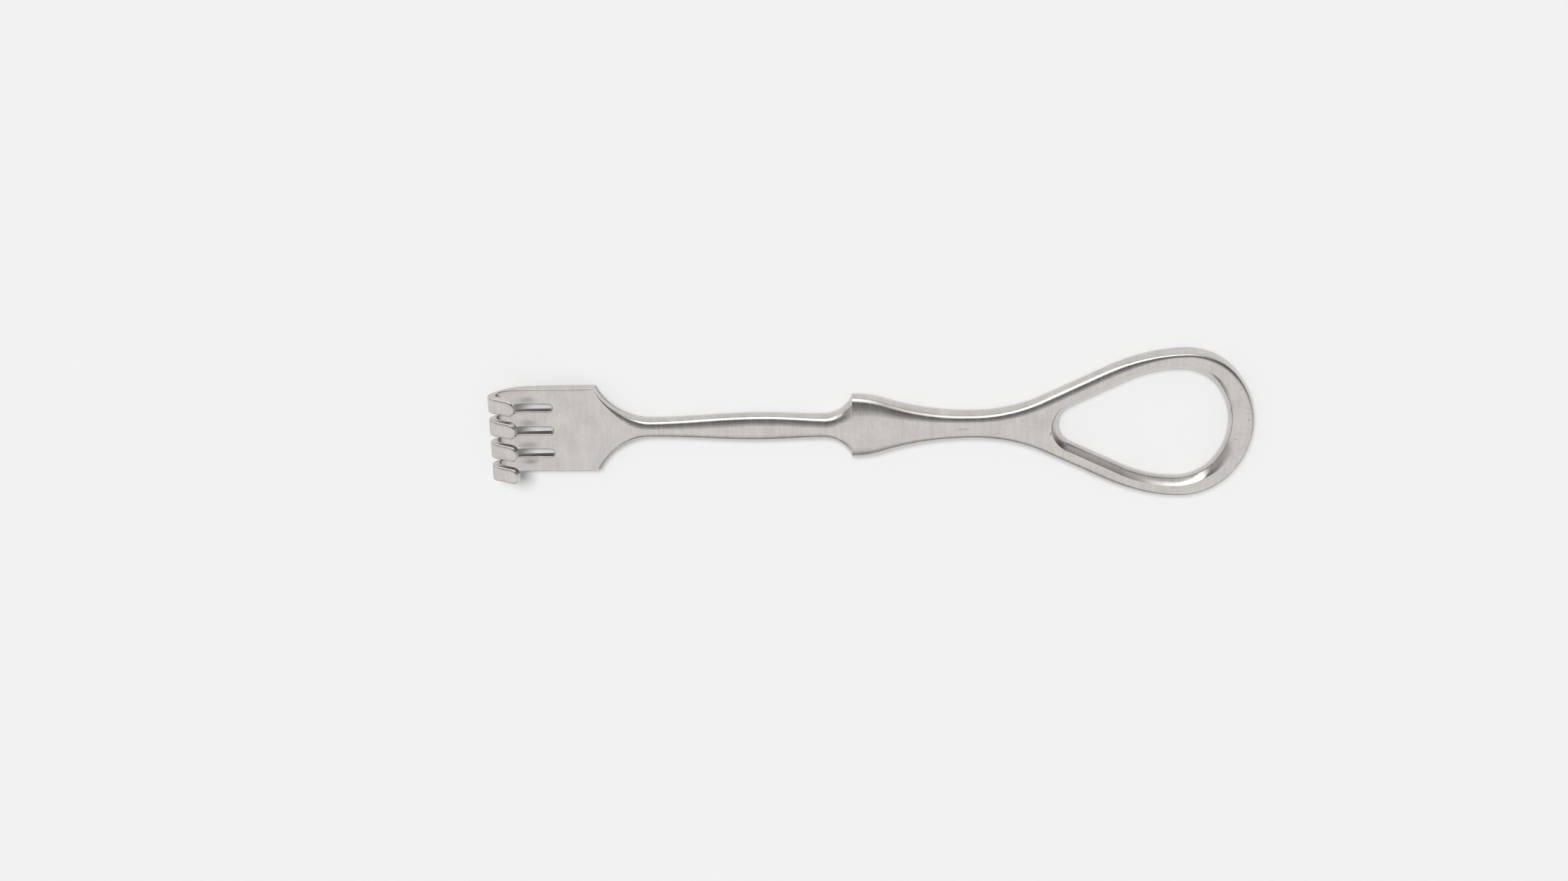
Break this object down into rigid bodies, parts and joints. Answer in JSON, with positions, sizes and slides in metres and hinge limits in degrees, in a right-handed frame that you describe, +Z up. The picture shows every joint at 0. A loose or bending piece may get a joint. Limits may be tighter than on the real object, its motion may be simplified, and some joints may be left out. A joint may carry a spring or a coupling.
{
  "type": "handheld surgical retractor",
  "caption": "One-piece rake retractor with blunt curled prongs, a waisted shaft with a finger rest, and a teardrop finger loop for holding tissue aside.",
  "frame": {"origin": "middle of the overall length and width, on the plane the instrument lies on", "axes": "+X from the prongs to the finger loop along the tool, +Y across the blade, +Z up, out of the face that the prongs curl over"},
  "size_m": [0.216, 0.045, 0.0137],
  "materials": {
    "steel": "satin, with polished rounded edges"
  },
  "bodies": {
    "root": {"retractor": "steel"}
  },
  "joints": []
}
